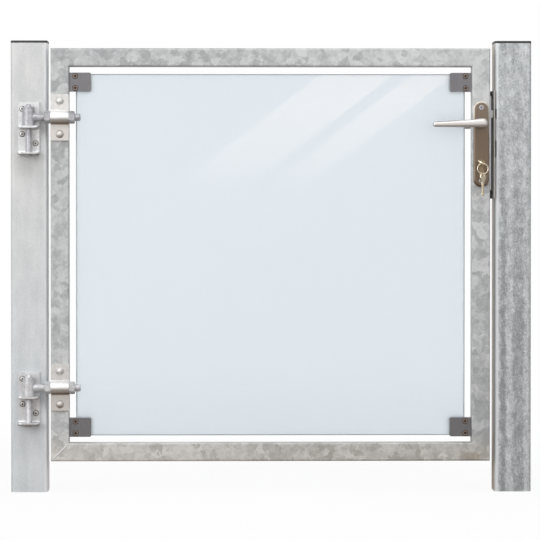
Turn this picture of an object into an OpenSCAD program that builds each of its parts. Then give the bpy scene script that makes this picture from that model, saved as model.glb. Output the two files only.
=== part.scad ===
// Single garden gate: a welded square-tube leaf holding one glass pane in four corner clamps,
// hung on two adjustable eye-bolt hinges between two square-tube posts, with a lever lock.
// Millimetres. Origin at the middle of the hinge post's foot, +X across the opening towards
// the latch post, +Y away from the viewer, +Z up.

/* [Posts] */
// Clear width between the two posts
opening_w = 976.5; // [700:0.5:1400]
// Height of each post tube above the ground, without its cap
post_h = 980; // [900:5:1200]
// Outside width of the square post tube
post_w = 80; // [70:1:100]
// Wall of the post tube
post_wall = 3; // [2:0.5:4]
// Outside corner radius of the post tube
post_r = 8; // [5:0.5:10]
// Thickness of the cap that closes the post's top
cap_t = 5; // [3:0.5:10]
// Depth of the cap's plug inside the post
cap_plug_h = 15; // [8:1:30]
// Wall of the cap's plug
cap_plug_wall = 2.5; // [1.5:0.5:4]

/* [Leaf frame] */
// Height of the leaf's lower edge above the ground
leaf_lift = 68; // [40:1:100]
// Height of the leaf
leaf_h = 900; // [720:1:910]
// Space between the hinge post and the leaf
hinge_gap = 7.5; // [7:0.5:14]
// Space between the leaf and the latch post
latch_gap = 11; // [11:0.5:16]
// Outside width of the square frame tube
tube_w = 40; // [36:1:50]
// Wall of the frame tube
tube_wall = 2; // [1.5:0.5:3]
// Outside corner radius of the frame tube
tube_r = 4; // [3.5:0.5:6]

/* [Glass and clamps] */
// Thickness of the glass pane
glass_t = 8; // [6:1:12]
// Space between the pane and the stiles
glass_side_gap = 14.5; // [13:0.5:20]
// Space between the pane and the rails
glass_end_gap = 15.5; // [13:0.5:26]
// Length of a clamp, measured out from the stile
clamp_w = 47.5; // [42:0.5:60]
// Height of a clamp
clamp_h = 41; // [40:0.5:60]
// Thickness of each of a clamp's two halves
clamp_half_t = 8; // [7:0.5:9]
// Corner radius of a clamp on the glass side
clamp_r = 3.5; // [2:0.5:8]
// How far a clamp reaches past the pane's upper or lower edge
clamp_past_glass = 2.5; // [2:0.5:6]
// Thickness of the rubber pads between clamp and glass
pad_t = 1.5; // [1:0.25:2]
// How far the rubber pads stay back from the clamp's edges
pad_inset = 2; // [1:0.5:4]
// Diameter of the recess for a clamp screw's head
clamp_screw_d = 12.6; // [9:0.1:13]
// Depth of the recess for a clamp screw's head
clamp_screw_deep = 5; // [3:0.5:6]
// Distance of the clamp screws from the stile
clamp_screw_out = 13.5; // [10:0.5:18]
// Distance between a clamp's two screws
clamp_screw_pitch = 26; // [16:0.5:26]

/* [Hinges] */
// Distance of the upper hinge's rod below the leaf's top
upper_hinge_drop = 151; // [140:1:260]
// Distance of the lower hinge's rod above the leaf's lower edge
lower_hinge_rise = 161; // [150:1:270]
// Diameter of the eye bolt's threaded rod
rod_d = 16; // [14:1:18]
// Length of rod that stands out past the outer nut
rod_tail = 12.5; // [5:0.5:20]
// Thickness of a nut
nut_t = 13; // [8:0.5:15]
// Diameter of the hinge pin
pin_d = 13; // [10:0.5:14]
// How far the pin's tip stands out above the eye
pin_tip = 6.5; // [4:0.5:15]
// Diameter of the eye at its foot
eye_d = 27; // [23:0.5:28]
// Diameter of the eye at its top
eye_top_d = 26; // [21:0.5:26]
// Height of the eye
eye_h = 40; // [34:1:50]
// Height of the eye's middle above the rod
eye_up = 2; // [0:0.5:4]
// Diameter of the neck where it leaves the eye
neck_d = 20; // [16:0.5:21]
// Thickness of the hinge bracket's plate, shelf and flange
bracket_t = 4.5; // [3:0.5:6]
// Width of the hinge bracket
bracket_w = 46; // [40:1:56]
// Height of the hinge bracket's plate above the rod
bracket_up = 33; // [30:1:45]
// Depth of the hinge bracket's plate below the rod
bracket_down = 81; // [76:1:110]
// How far shelf and flange reach in front of the pin
bracket_front = 20; // [16:1:26]
// Inside radius of the bracket's bend
bracket_bend_r = 4; // [2:0.5:8]
// Height of the strap
strap_h = 101; // [94:1:120]
// Thickness of the strap
strap_t = 4.5; // [3:0.5:6]
// Radius of the hollow bend at the foot of the strap's bulge
strap_bend_r = 4; // [2:0.5:6]
// Distance of the strap bolts above and below the rod
strap_bolt_off = 36; // [33:0.5:38]
// Diameter of the strap bolts' shank
strap_bolt_d = 8; // [6:0.5:10]
// Diameter of the strap bolts' domed head
strap_head_d = 18; // [14:0.5:19]
// Height of the strap bolts' domed head
strap_head_h = 5.5; // [3:0.5:7]

/* [Lock] */
// Distance of the lever's spindle below the leaf's top
spindle_drop = 163; // [150:1:240]
// Distance from the spindle down to the cylinder
cylinder_drop = 88; // [84:1:92]
// Width of the lock plate
plate_w = 34; // [30:0.5:36]
// Length of the lock plate
plate_h = 186; // [182:1:220]
// Thickness of the lock plate
plate_t = 8; // [6:0.5:10]
// Radius of the lock plate's rounded front edge
plate_edge_r = 4; // [1:0.5:4]
// Height of the spindle above the middle of the lock plate
spindle_up = 46; // [40:1:52]
// Diameter of the plate's collar around the lever's neck
collar_d = 24; // [22:0.5:28]
// Height of the plate's collar
collar_h = 4; // [2:0.5:6]
// Diameter of the lever's neck
lever_neck_d = 16; // [14:0.5:18]
// Free depth for the fingers between plate and grip
grip_gap = 32; // [28:1:40]
// Reach of the lever from its axis to its tip
lever_reach = 108.5; // [90:0.5:130]
// Height of the grip at its hub
grip_hub_h = 19.5; // [18:0.5:21]
// Height of the grip where its taper starts, without the hub's swelling
grip_root_h = 15.5; // [12:0.5:18]
// Height of the grip at its tip
grip_tip_h = 8.5; // [6:0.5:12]
// Depth of the grip at its hub
grip_hub_t = 14; // [11:0.5:16]
// Depth of the grip at its tip
grip_tip_t = 9; // [6:0.5:11]
// How far the grip's lower edge lies below the spindle
grip_low = 10.5; // [10:0.5:14]
// How far the grip's lower edge rises towards its tip
grip_rise = 1; // [0:0.5:3]
// Width of the square spindle
spindle_w = 8; // [6:0.5:9]
// Thickness of the lock case inside the stile
case_t = 15; // [14:0.5:18]
// Length of the forend on the stile's edge
forend_h = 205; // [200:1:240]
// Width of the forend
forend_w = 24; // [20:0.5:28]
// Thickness of the forend
forend_t = 2.5; // [2:0.5:3]
// Height of the latch above the spindle
latch_up = 21; // [20:0.5:24]
// Height of the latch
latch_h = 16; // [12:0.5:18]
// Width of the latch
latch_w = 11; // [8:0.5:12]
// Height of the dead bolt
bolt_h = 30; // [20:1:34]
// Height of the dead bolt's middle above the cylinder's axis
bolt_up = 32; // [30:1:34]
// Length of the keep on the latch post
keep_h = 236; // [220:1:260]
// Width of the keep
keep_w = 60; // [40:1:66]
// Thickness of the keep
keep_t = 2.8; // [2:0.1:3]
// Width of the keep's rear flange, which closes the gap behind the leaf
keep_flange = 9; // [5:0.5:10]

/* [Cylinder and keys] */
// Diameter of the lock cylinder's round part
cylinder_d = 17; // [15:0.5:18]
// Width of the lock cylinder's leg
cylinder_leg_w = 10; // [8:0.5:11]
// Height of the lock cylinder
cylinder_h = 33; // [30:0.5:34]
// How far the cylinder stands out of each plate
cylinder_out = 2.5; // [1:0.5:5]
// Diameter of the turning plug
plug_d = 13; // [11:0.5:14]
// Thickness of a key
key_t = 2.4; // [1.8:0.1:3]
// Diameter of a key's bow
bow_d = 22; // [20:0.5:24]
// Diameter of the hole in a key's bow
bow_hole_d = 8; // [6.5:0.5:9]
// Width of the rim outside that hole
bow_rim = 1.8; // [1.5:0.1:3]
// Length of a key's blade
blade_l = 29; // [24:0.5:32]
// Width of a key's blade
blade_w = 7.5; // [6:0.5:9]
// Middle diameter of the key ring
ring_d = 23; // [21:0.5:27]
// Diameter of the key ring's wire
ring_wire_d = 2.2; // [1.6:0.1:3]
// Turn of the key in the lock, out of the upright
key_turn = 55; // [40:1:70]
// Turn of the hanging spare key, away from edge on
spare_turn = 35; // [0:1:45]

/* [Hidden] */
$fn = 48;
cut = 1;
// Clearances: beside a sliding piece, around the pin, under the eye, behind the eye, around bolts
slide_clear = 0.3;
pin_clear = 0.06;
seat_clear = 0.3;
eye_clear = 2;
bolt_clear = 0.25;
press_clear = 0.05;
// Leaf: its edges, and its depth behind the rods
leaf_x = post_w / 2 + hinge_gap;
leaf_w = opening_w - hinge_gap - latch_gap;
leaf_end_x = leaf_x + leaf_w;
post_gap_x = post_w / 2 + opening_w;
latch_post_x = post_gap_x + post_w / 2;
rod_out = rod_d / 2 + slide_clear;
pin_out = eye_d / 2 + eye_clear + bracket_t;
pin_y = -post_w / 2 - pin_out;
leaf_y = pin_y + rod_out;
leaf_mid_y = leaf_y + tube_w / 2;
leaf_top = leaf_lift + leaf_h;
// Glass opening inside the frame
open_x = leaf_x + tube_w;
open_end_x = leaf_end_x - tube_w;
open_z = leaf_lift + tube_w;
open_top = leaf_top - tube_w;
glass_z = open_z + glass_end_gap;
glass_top = open_top - glass_end_gap;
pad_y = glass_t / 2 + pad_t;
glass_edge_clear = 2;
// Hinges: their heights, hexagon across flats as for standard threads, spans along the rod
upper_hinge_z = leaf_top - upper_hinge_drop;
lower_hinge_z = leaf_lift + lower_hinge_rise;
nut_af = 1.5 * rod_d;
nut_r = nut_af / 2 / cos(30);
rod_end_x = open_x + nut_t + rod_tail;
neck_l = eye_d / 2 + 8;
eye_foot = eye_up - eye_h / 2;
shelf_top = eye_foot - seat_clear;
rivet_h = 1.5;
strap_nut_af = 1.6 * strap_bolt_d;
strap_nut_h = 0.8 * strap_bolt_d;
strap_bolt_tail = 3;
bracket_corner_r = 7;
bracket_hole_d = 6.5;
bracket_hole_x = 14.5;
bracket_hole_top = 9;
bracket_hole_stagger = 20;
bracket_hole_pitch = 55;
// Lock
lock_x = leaf_end_x - tube_w / 2;
spindle_z = leaf_top - spindle_drop;
plate_mid_z = spindle_z - spindle_up;
cylinder_z = spindle_z - cylinder_drop;
bolt_z = cylinder_z + bolt_up;
latch_z = spindle_z + latch_up;
forend_x = leaf_end_x + forend_t;
forend_up = forend_h / 2 + 3;
keep_x = post_gap_x - keep_t;
keep_clear = 0.9;
latch_out = keep_x - keep_clear - forend_x;
latch_travel = latch_out + slide_clear;
latch_tail = 20;
case_in = tube_wall + 1.5;
case_h = plate_h - 16;
spindle_hole_r = spindle_w / sqrt(2) + slide_clear;
neck_hole_r = lever_neck_d / 2 + slide_clear;
grip_y = plate_t + grip_gap + grip_hub_t / 2;
grip_over = 10.5;
slot_room = 3;
// Keys: the hole's place on the bow, and how the ring and the spare key hang
bow_hole_off = bow_d / 2 - bow_rim - bow_hole_d / 2;
bow_gap = 1;
bow_y = plate_t + cylinder_out + bow_gap + bow_d / 2;
hole_y = bow_y + bow_hole_off;
ring_skew = 50;
ring_lean = key_turn - ring_skew;
ring_slip = slip(ring_skew);
ring_x = ring_slip * sin(key_turn) + ring_d / 2 * sin(ring_lean);
ring_z = -ring_slip * cos(key_turn) - ring_d / 2 * cos(ring_lean);
spare_drop = slip(spare_turn);
plug_l = blade_l + 2;
// Grip: how many sections and sides its loft has, how square its oval is, how far the hub's swelling runs
grip_stations = 15;
grip_sides = 24;
grip_squareness = 0.8;
hub_spread = 17;
grip_long = grip_over + lever_reach;

// Square of side w with corners of radius r, centred
module rounded_square(w, r) {
  square([w, w - 2 * r], center = true);
  square([w - 2 * r, w], center = true);
  for (x = [-1, 1], y = [-1, 1])
    translate([x * (w / 2 - r), y * (w / 2 - r)]) circle(r);
}

// Cross-section of a square tube
module tube_section(w, wall, r) {
  difference() {
    rounded_square(w, r);
    rounded_square(w - 2 * wall, r - wall);
  }
}

// Posts and their caps

module post_tube() {
  linear_extrude(post_h) tube_section(post_w, post_wall, post_r);
}

module hinge_post() {
  color("lightgray") post_tube();
}

// The latch post's wall is cut behind the keep's two slots
module latch_post() {
  color("silver")
    difference() {
      translate([latch_post_x, 0, 0]) post_tube();
      keep_slots(post_gap_x - cut, post_wall + post_r);
    }
}

// Flat plate on the post's end, with a hollow plug that goes into the tube
module post_cap() {
  plug_w = post_w - 2 * post_wall - 2 * slide_clear;
  plug_r = post_r - post_wall;
  translate([0, 0, post_h]) {
    linear_extrude(cap_t) rounded_square(post_w, post_r);
    translate([0, 0, -cap_plug_h])
      linear_extrude(cap_plug_h)
        difference() {
          rounded_square(plug_w, plug_r);
          square(plug_w - 2 * cap_plug_wall, center = true);
        }
  }
}

module hinge_post_cap() {
  color("dimgray") post_cap();
}

module latch_post_cap() {
  color("dimgray") translate([latch_post_x, 0, 0]) post_cap();
}

// Room for latch and dead bolt, from x on by depth
module keep_slots(x, depth) {
  for (s = [[latch_z, latch_h], [bolt_z, bolt_h]])
    translate([x, leaf_mid_y - latch_w / 2 - slot_room / 2, s[0] - s[1] / 2 - slot_room])
      cube([depth, latch_w + slot_room, s[1] + 2 * slot_room]);
}

// Angle on the latch post's inner face, slotted for latch and dead bolt
module latch_keep() {
  color("black")
    difference() {
      translate([keep_x, leaf_mid_y - forend_w / 2, plate_mid_z - keep_h / 2]) {
        cube([keep_t, keep_w, keep_h]);
        translate([-keep_flange, keep_w - keep_t, 0]) cube([keep_flange + keep_t, keep_t, keep_h]);
      }
      keep_slots(keep_x - cut, keep_t + 2 * cut);
    }
}

// Hinges, drawn around the crossing of pin and rod

module at_hinge(z) {
  translate([0, pin_y, z]) children();
}

// Plan of the bracket's shelf and flange, with rounded front corners
module bracket_plan() {
  r = bracket_corner_r;
  deep = bracket_front + pin_out;
  translate([-bracket_w / 2, r - bracket_front]) square([bracket_w, deep - r]);
  translate([r - bracket_w / 2, -bracket_front]) square([bracket_w - 2 * r, r]);
  for (x = [-1, 1]) translate([x * (bracket_w / 2 - r), r - bracket_front]) circle(r);
}

// Side view of the plate with its flange bent forward at the foot, depth along x, height along y
module bracket_side() {
  ri = bracket_bend_r;
  ro = bracket_bend_r + bracket_t;
  translate([pin_out - bracket_t, ro - bracket_down]) square([bracket_t, bracket_down + bracket_up - ro]);
  translate([-bracket_front, -bracket_down]) square([bracket_front + pin_out - ro, bracket_t]);
  translate([pin_out - ro, ro - bracket_down])
    intersection() {
      difference() {
        circle(ro);
        circle(ri);
      }
      translate([0, -ro]) square(ro);
    }
}

// Wall plate with a bent flange and a welded shelf that carry the pin; four staggered screw holes
module hinge_bracket() {
  height = bracket_up + bracket_down;
  difference() {
    union() {
      intersection() {
        rotate([90, 0, 90]) linear_extrude(bracket_w, center = true) bracket_side();
        translate([0, 0, -bracket_down]) linear_extrude(height) bracket_plan();
      }
      translate([0, 0, shelf_top - bracket_t]) linear_extrude(bracket_t) bracket_plan();
    }
    translate([0, 0, -bracket_down - cut])
      cylinder(d = pin_d + 2 * press_clear, h = bracket_down + shelf_top + 2 * cut);
    for (z = [bracket_hole_top, bracket_hole_top - bracket_hole_pitch], side = [-1, 1])
      translate([side * bracket_hole_x, pin_out + cut, z - side * bracket_hole_stagger / 2])
        rotate([90, 0, 0]) cylinder(d = bracket_hole_d, h = bracket_t + 2 * cut);
  }
}

module upper_hinge_bracket() {
  color("gainsboro") at_hinge(upper_hinge_z) hinge_bracket();
}

module lower_hinge_bracket() {
  color("gainsboro") at_hinge(lower_hinge_z) hinge_bracket();
}

// Round pin, riveted under the flange, with a tapered tip above the eye
module hinge_pin() {
  foot = -bracket_down - rivet_h;
  shoulder = eye_foot + eye_h + pin_tip / 3;
  tip_d = 0.7 * pin_d;
  translate([0, 0, foot]) cylinder(d = pin_d, h = shoulder - foot);
  translate([0, 0, shoulder]) cylinder(d1 = pin_d, d2 = tip_d, h = pin_tip * 2 / 3);
  translate([0, 0, foot - rivet_h]) cylinder(d = 1.3 * pin_d, h = rivet_h + rivet_h);
}

module upper_hinge_pin() {
  color("silver") at_hinge(upper_hinge_z) hinge_pin();
}

module lower_hinge_pin() {
  color("silver") at_hinge(lower_hinge_z) hinge_pin();
}

// Forged eye, wider at its foot, with a tapered neck that runs out into the threaded rod
module eye_bolt() {
  chamfer = rod_d / 8;
  difference() {
    union() {
      translate([0, 0, eye_foot]) cylinder(d1 = eye_d, d2 = eye_top_d, h = eye_h);
      rotate([0, 90, 0]) cylinder(d1 = neck_d, d2 = rod_d, h = neck_l);
      rotate([0, 90, 0]) cylinder(d = rod_d, h = rod_end_x - chamfer);
      translate([rod_end_x - chamfer, 0, 0])
        rotate([0, 90, 0]) cylinder(d1 = rod_d, d2 = rod_d - 2 * chamfer, h = chamfer);
    }
    translate([0, 0, eye_foot - cut]) cylinder(d = pin_d + 2 * pin_clear, h = eye_h + 2 * cut);
  }
}

module upper_eye_bolt() {
  color("lightgray") at_hinge(upper_hinge_z) eye_bolt();
}

module lower_eye_bolt() {
  color("lightgray") at_hinge(lower_hinge_z) eye_bolt();
}

// Hexagon nut along +X with both rims chamfered, bored for the rod
module rod_nut() {
  chamfer = nut_r - nut_af / 2;
  rim = nut_af / 2;
  rotate([0, 90, 0])
    difference() {
      intersection() {
        cylinder(r = nut_r, h = nut_t, $fn = 6);
        rotate_extrude()
          polygon([[0, 0], [rim, 0], [nut_r, chamfer], [nut_r, nut_t - chamfer], [rim, nut_t], [0, nut_t]]);
      }
      translate([0, 0, -cut]) cylinder(d = rod_d + 2 * press_clear, h = nut_t + 2 * cut);
    }
}

// One nut on each side of each strap sets the leaf's place along the rod
module hinge_nuts() {
  color("silver")
    for (z = [upper_hinge_z, lower_hinge_z], x = [leaf_x - nut_t, open_x])
      at_hinge(z) translate([x, 0, 0]) rod_nut();
}

// Side view of the strap: two flat flanges and a half-round bulge over the rod, depth in front
// of the leaf along x, height along y
module strap_side() {
  ro = rod_out + strap_t;
  foot = ro + strap_bend_r;
  difference() {
    union() {
      translate([0, -strap_h / 2]) square([strap_t, strap_h]);
      translate([0, -ro]) square([rod_out, 2 * ro]);
      translate([rod_out, 0])
        intersection() {
          circle(ro);
          translate([0, -ro]) square([ro, 2 * ro]);
        }
      difference() {
        translate([strap_t, -foot]) square([strap_bend_r, 2 * foot]);
        for (y = [-foot, foot]) translate([strap_t + strap_bend_r, y]) circle(strap_bend_r);
      }
    }
    translate([rod_out, 0]) circle(rod_out);
    translate([-cut, -rod_out]) square([rod_out + cut, 2 * rod_out]);
  }
}

module hinge_strap() {
  difference() {
    translate([leaf_x, rod_out, 0])
      rotate([90, 0, 90]) mirror([1, 0]) linear_extrude(tube_w) strap_side();
    strap_bolt_holes(rod_out + cut);
  }
}

// Holes for the two strap bolts, drawn back from depth y towards the viewer
module strap_bolt_holes(y) {
  for (side = [-1, 1])
    translate([leaf_x + tube_w / 2, y, side * strap_bolt_off])
      rotate([90, 0, 0]) cylinder(d = strap_bolt_d + 2 * bolt_clear, h = tube_w + strap_t + 3 * cut);
}

module upper_hinge_strap() {
  color("whitesmoke") at_hinge(upper_hinge_z) hinge_strap();
}

module lower_hinge_strap() {
  color("whitesmoke") at_hinge(lower_hinge_z) hinge_strap();
}

// Dome-headed bolt through strap and stile along +Y, with its nut behind the stile
module strap_bolt() {
  cap_r = (pow(strap_head_d / 2, 2) + pow(strap_head_h, 2)) / (2 * strap_head_h);
  grip = strap_t + tube_w;
  rotate([-90, 0, 0]) {
    intersection() {
      translate([0, 0, cap_r - strap_head_h]) sphere(cap_r);
      translate([0, 0, -strap_head_h]) cylinder(d = strap_head_d, h = strap_head_h);
    }
    cylinder(d = strap_bolt_d, h = grip + strap_nut_h + strap_bolt_tail);
    translate([0, 0, grip]) cylinder(d = strap_nut_af / cos(30), h = strap_nut_h, $fn = 6);
  }
}

module strap_bolts() {
  color("whitesmoke")
    for (z = [upper_hinge_z, lower_hinge_z], side = [-1, 1])
      translate([leaf_x + tube_w / 2, leaf_y - strap_t, z + side * strap_bolt_off]) strap_bolt();
}

// Leaf frame

// Square tube along +Z from the origin, both ends mitred towards its shorter +X side
module mitred_tube(len) {
  half = tube_w / 2;
  difference() {
    linear_extrude(len) tube_section(tube_w, tube_wall, tube_r);
    for (end = [0, 1])
      translate([0, 0, end * len]) mirror([0, 0, end])
        rotate([90, 0, 0])
          linear_extrude(tube_w + 2 * cut, center = true)
            polygon([[-half - cut, -cut], [half + cut, -cut], [half + cut, tube_w + cut]]);
  }
}

module hinge_stile() {
  color("darkgray")
    difference() {
      translate([leaf_x + tube_w / 2, leaf_mid_y, leaf_lift]) mitred_tube(leaf_h);
      for (z = [upper_hinge_z, lower_hinge_z]) at_hinge(z) strap_bolt_holes(rod_out + tube_w + cut);
    }
}

// The lock stile is slotted for the lock case and pierced for spindle and cylinder
module lock_stile() {
  color("darkgray")
    difference() {
      translate([lock_x, leaf_mid_y, leaf_lift]) rotate(180) mitred_tube(leaf_h);
      translate([leaf_end_x - tube_wall - cut, leaf_mid_y - case_t / 2 - slide_clear, plate_mid_z - case_h / 2])
        cube([tube_wall + 2 * cut, case_t + 2 * slide_clear, case_h]);
      through_lock(tube_w) circle(neck_hole_r);
      through_lock(tube_w) translate([0, -cylinder_drop]) cylinder_profile(slide_clear);
    }
}

module top_rail() {
  color("darkgray")
    translate([leaf_x, leaf_mid_y, leaf_top - tube_w / 2]) rotate([0, 90, 0]) mitred_tube(leaf_w);
}

module bottom_rail() {
  color("darkgray")
    translate([leaf_end_x, leaf_mid_y, leaf_lift + tube_w / 2]) rotate([0, -90, 0]) mitred_tube(leaf_w);
}

// Glass and its clamps

module glass_pane() {
  color("lightblue", 0.5)
    translate([open_x + glass_side_gap, leaf_mid_y - glass_t / 2, glass_z])
      cube([open_end_x - open_x - 2 * glass_side_gap, glass_t, glass_top - glass_z]);
}

// Puts a clamp, drawn for the upper left corner from the pane's upper edge, at any of the four
module at_corner(upper, left) {
  translate([left ? open_x : open_end_x, leaf_mid_y, upper ? glass_top : glass_z])
    mirror([left ? 0 : 1, 0, 0]) mirror([0, 0, upper ? 0 : 1]) children();
}

// Outline of a clamp, x out from the stile and y down from the pane's edge, with the two corners
// on the glass side rounded
module clamp_outline(inset = 0) {
  w = clamp_w - inset;
  h = clamp_h - 2 * inset;
  translate([0, clamp_past_glass - clamp_h + inset]) {
    square([w - clamp_r, h]);
    translate([w - clamp_r, clamp_r]) square([clamp_r, h - 2 * clamp_r]);
    for (y = [clamp_r, h - clamp_r]) translate([w - clamp_r, y]) circle(clamp_r);
  }
}

// Slab between the depths y0 and y1 from the pane's middle, over the clamp's upright outline
module clamp_slab(y0, y1) {
  translate([0, y1, 0]) rotate([90, 0, 0]) linear_extrude(y1 - y0) children();
}

// Rear half of a clamp: a slab behind the glass, and a web beside it that the front half closes on
module clamp_back() {
  clamp_slab(pad_y, pad_y + clamp_half_t) clamp_outline();
  clamp_slab(-pad_y, pad_y)
    intersection() {
      clamp_outline();
      translate([0, -clamp_h]) square([glass_side_gap - glass_edge_clear, 2 * clamp_h]);
    }
}

// Front half of a clamp, with two sunk screw heads
module clamp_front() {
  mid = clamp_past_glass - clamp_h / 2;
  face = -pad_y - clamp_half_t;
  difference() {
    clamp_slab(face, -pad_y) clamp_outline();
    for (side = [-1, 1])
      translate([clamp_screw_out, face + clamp_screw_deep, mid + side * clamp_screw_pitch / 2])
        rotate([90, 0, 0]) cylinder(d = clamp_screw_d, h = clamp_screw_deep + cut);
  }
}

// Rubber pads between the two halves and the glass
module clamp_pads() {
  for (y = [-pad_y, pad_y - pad_t])
    clamp_slab(y, y + pad_t)
      difference() {
        clamp_outline(pad_inset);
        translate([-cut, -clamp_h]) square([glass_side_gap + cut, 2 * clamp_h]);
        square([clamp_w, clamp_h]);
      }
}

module upper_left_clamp_back() { color("gray") at_corner(true, true) clamp_back(); }
module upper_right_clamp_back() { color("gray") at_corner(true, false) clamp_back(); }
module lower_left_clamp_back() { color("gray") at_corner(false, true) clamp_back(); }
module lower_right_clamp_back() { color("gray") at_corner(false, false) clamp_back(); }
module upper_left_clamp_front() { color("gray") at_corner(true, true) clamp_front(); }
module upper_right_clamp_front() { color("gray") at_corner(true, false) clamp_front(); }
module lower_left_clamp_front() { color("gray") at_corner(false, true) clamp_front(); }
module lower_right_clamp_front() { color("gray") at_corner(false, false) clamp_front(); }
module upper_left_clamp_pads() { color("black") at_corner(true, true) clamp_pads(); }
module upper_right_clamp_pads() { color("black") at_corner(true, false) clamp_pads(); }
module lower_left_clamp_pads() { color("black") at_corner(false, true) clamp_pads(); }
module lower_right_clamp_pads() { color("black") at_corner(false, false) clamp_pads(); }

// Lock, drawn around the spindle's axis

// Prism of an upright outline through the leaf's depth at the spindle
module through_lock(depth) {
  translate([lock_x, leaf_mid_y, spindle_z])
    rotate([90, 0, 0]) linear_extrude(depth + 2 * cut, center = true) children();
}

// Outline of a profile cylinder: a round part above a narrower leg with a round foot
module cylinder_profile(grow = 0) {
  leg = cylinder_leg_w / 2 + grow;
  foot = cylinder_h - cylinder_d / 2 - cylinder_leg_w / 2;
  circle(cylinder_d / 2 + grow);
  translate([-leg, -foot]) square([2 * leg, foot]);
  translate([0, -foot]) circle(leg);
}

// Half of the lock plate's section: flat behind, with a rounded shoulder in front
module plate_half_section() {
  r = plate_edge_r;
  square([plate_w / 2, plate_t - r]);
  square([plate_w / 2 - r, plate_t]);
  translate([plate_w / 2 - r, plate_t - r]) circle(r);
}

// Long plate with round ends, standing out along +Z, with a collar round the lever's neck
module lock_plate() {
  straight = plate_h - plate_w;
  difference() {
    union() {
      for (side = [0, 1])
        mirror([side, 0, 0])
          translate([0, straight / 2 - spindle_up, 0])
            rotate([90, 0, 0]) linear_extrude(straight) plate_half_section();
      for (end = [-1, 1])
        translate([0, end * straight / 2 - spindle_up, 0])
          rotate_extrude() intersection() {
            plate_half_section();
            square([plate_w, plate_t]);
          }
      cylinder(d = collar_d, h = plate_t + collar_h);
    }
    translate([0, 0, -cut]) cylinder(r = neck_hole_r, h = plate_t + collar_h + 2 * cut);
    translate([0, -cylinder_drop, -cut]) linear_extrude(plate_t + 2 * cut) cylinder_profile(slide_clear);
  }
}

// Puts a piece drawn along +Z on the leaf's front or back face, at the spindle
module on_lock(front) {
  translate([lock_x, leaf_mid_y, spindle_z])
    mirror([0, front ? 0 : 1, 0])
      translate([0, -tube_w / 2, 0]) rotate([90, 0, 0]) children();
}

module front_lock_plate() {
  color("rosybrown") on_lock(true) lock_plate();
}

module back_lock_plate() {
  color("rosybrown") on_lock(false) lock_plate();
}

// Lock case inside the stile behind the forend, with the latch's channel and the holes for
// spindle, cylinder and dead bolt
module lock_case() {
  deep = tube_w - case_in;
  color("gray")
    difference() {
      union() {
        translate([leaf_end_x - deep, leaf_mid_y - case_t / 2, plate_mid_z - case_h / 2 + slide_clear])
          cube([deep, case_t, case_h - 2 * slide_clear]);
        translate([leaf_end_x, leaf_mid_y - forend_w / 2, plate_mid_z + forend_up - forend_h])
          cube([forend_t, forend_w, forend_h]);
      }
      bolt_room(latch_z, latch_h, latch_tail + latch_travel + slide_clear);
      bolt_room(bolt_z, bolt_h, latch_tail);
      through_lock(tube_w) circle(spindle_hole_r);
      through_lock(tube_w) translate([0, -cylinder_drop]) cylinder_profile(slide_clear);
    }
}

// Channel for a bolt of height h, from the forend's face back by depth
module bolt_room(z, h, depth) {
  translate([forend_x - depth, leaf_mid_y - latch_w / 2 - slide_clear, z - h / 2 - slide_clear])
    cube([depth + cut, latch_w + 2 * slide_clear, h + 2 * slide_clear]);
}

// Dead bolt, drawn back flush with the forend
module dead_bolt() {
  color("silver")
    translate([forend_x - latch_tail, leaf_mid_y - latch_w / 2, bolt_z - bolt_h / 2])
      cube([latch_tail, latch_w, bolt_h]);
}

// Sprung latch, its nose bevelled on the side that meets the keep as the leaf closes
module latch_bolt() {
  bevel = latch_out * 0.8;
  color("silver")
    translate([forend_x, leaf_mid_y, latch_z - latch_h / 2])
      linear_extrude(latch_h)
        polygon([
          [-latch_tail, -latch_w / 2], [latch_out, -latch_w / 2], [latch_out, 0],
          [latch_out - bevel, latch_w / 2], [-latch_tail, latch_w / 2]
        ]);
}

// Profile cylinder through both plates, bored for the plug
module lock_cylinder() {
  long = tube_w + 2 * (plate_t + cylinder_out);
  color("goldenrod")
    difference() {
      translate([lock_x, leaf_mid_y, cylinder_z])
        rotate([90, 0, 0]) linear_extrude(long, center = true) cylinder_profile();
      at_cylinder() translate([0, -plug_l, 0]) plug_bore();
    }
}

// Front mouth of the cylinder, on its axis
module at_cylinder() {
  translate([lock_x, leaf_y - plate_t - cylinder_out, cylinder_z])
    mirror([0, 1, 0]) children();
}

module plug_bore() {
  rotate([-90, 0, 0]) cylinder(d = plug_d + 2 * pin_clear, h = plug_l + cut);
}

// Turning plug with the keyway through its face
module cylinder_plug() {
  color("gold")
    at_cylinder()
      difference() {
        translate([0, seat_clear - plug_l, 0]) rotate([-90, 0, 0]) cylinder(d = plug_d, h = plug_l - seat_clear);
        rotate([0, -key_turn, 0])
          translate([-key_t / 2 - press_clear, -blade_l - press_clear, -blade_w / 2 - press_clear])
            cube([key_t + 2 * press_clear, blade_l + cut, blade_w + 2 * press_clear]);
      }
}

// Flat key in the XY plane: a round bow with its hole, drawn from the hole's centre with the
// blade along +Y, notched on one edge
module key_outline() {
  shoulder = bow_hole_off + bow_d / 2 + bow_gap;
  notch_pitch = blade_l / 6;
  difference() {
    union() {
      translate([0, bow_hole_off]) circle(d = bow_d);
      translate([-blade_w / 2, bow_hole_off]) square([blade_w, bow_d / 2 + bow_gap + blade_l]);
    }
    circle(d = bow_hole_d);
    for (i = [1:4])
      translate([blade_w / 2, shoulder + (i + 0.5) * notch_pitch]) rotate(45) square(blade_w / 4, center = true);
    translate([blade_w / 2, shoulder + blade_l]) rotate(45) square(blade_w / 2, center = true);
  }
}

module flat_key() {
  linear_extrude(key_t, center = true) key_outline();
}

// How far the ring's wire lies from the middle of a bow's hole that it goes through at an angle
function slip(skew) =
  bow_hole_d / 2 - ring_wire_d / 2 / cos(skew) - key_t / 2 * tan(skew) - slide_clear;

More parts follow.
